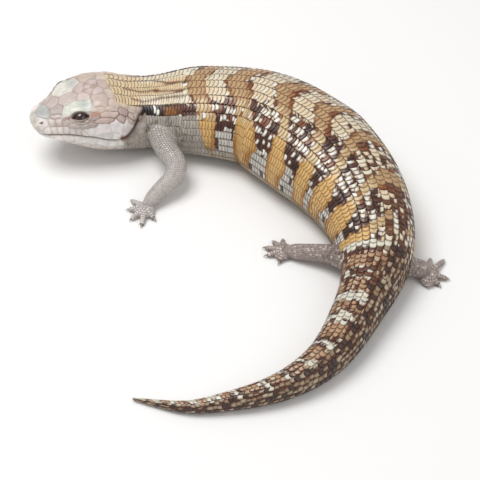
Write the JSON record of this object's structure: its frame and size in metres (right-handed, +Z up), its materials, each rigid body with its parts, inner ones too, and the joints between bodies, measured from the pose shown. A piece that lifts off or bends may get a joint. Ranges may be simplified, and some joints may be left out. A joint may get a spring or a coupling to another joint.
{
  "type": "blue tongued skink",
  "caption": "Life-size blue tongued skink lying on its belly, head low and forward, short legs spread and the thick banded tail curled round beside it.",
  "frame": {"origin": "on the floor, at the middle of the animal's outline seen from above", "axes": "+Z up from the floor, the snout points along -X, +Y is the far side, towards which the chest and head lie, and the tail curls back along -Y"},
  "size_m": [0.2346, 0.261, 0.0469],
  "materials": {
    "scaled_skin": "smooth overlapping scales with a soft gloss, cream and dark brown bands with orange flanks",
    "head_shields": "large smooth head shields outlined in brown, soft gloss",
    "limb_skin": "small smooth glossy scales, plain greyish pink",
    "eye": "wet, dark brown iris with a round pupil"
  },
  "bodies": {
    "root": {"head": "head_shields", "eye_left": "eye", "eye_right": "eye", "neck": "scaled_skin", "torso_front": "scaled_skin", "torso_rear": "scaled_skin", "hips": "scaled_skin", "tail_base": "scaled_skin", "tail_middle": "scaled_skin", "tail_end": "scaled_skin", "upper_arm_left": "limb_skin", "forearm_left": "limb_skin", "hand_left": "limb_skin", "thigh_left": "limb_skin", "shank_left": "limb_skin", "foot_left": "limb_skin", "upper_arm_right": "limb_skin", "forearm_right": "limb_skin", "hand_right": "limb_skin", "thigh_right": "limb_skin", "shank_right": "limb_skin", "foot_right": "limb_skin"}
  },
  "joints": []
}
